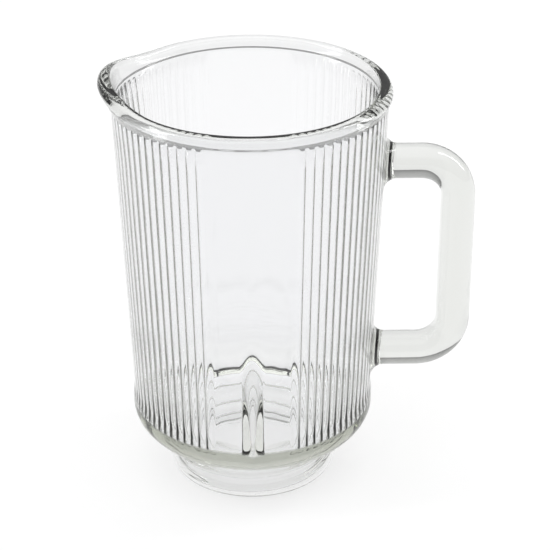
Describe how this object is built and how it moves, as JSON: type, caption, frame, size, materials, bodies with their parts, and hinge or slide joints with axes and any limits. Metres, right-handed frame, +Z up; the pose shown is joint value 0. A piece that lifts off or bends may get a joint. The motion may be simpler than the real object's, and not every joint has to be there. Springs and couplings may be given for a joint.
{
  "type": "blender jar",
  "caption": "Tapered clear glass jar with fluted inside, pouring lip, D handle and an open neck below that takes the blade unit; pours and holds food while blending.",
  "frame": {"origin": "jar's axis at the flat foot of the neck", "axes": "+Z up along the jar's axis, +X towards the handle, -X towards the pouring lip"},
  "size_m": [0.1683, 0.126, 0.1988],
  "materials": {
    "clear_glass": "clear pressed glass, fire polished"
  },
  "bodies": {
    "root": {"jar": "clear_glass"}
  },
  "joints": []
}
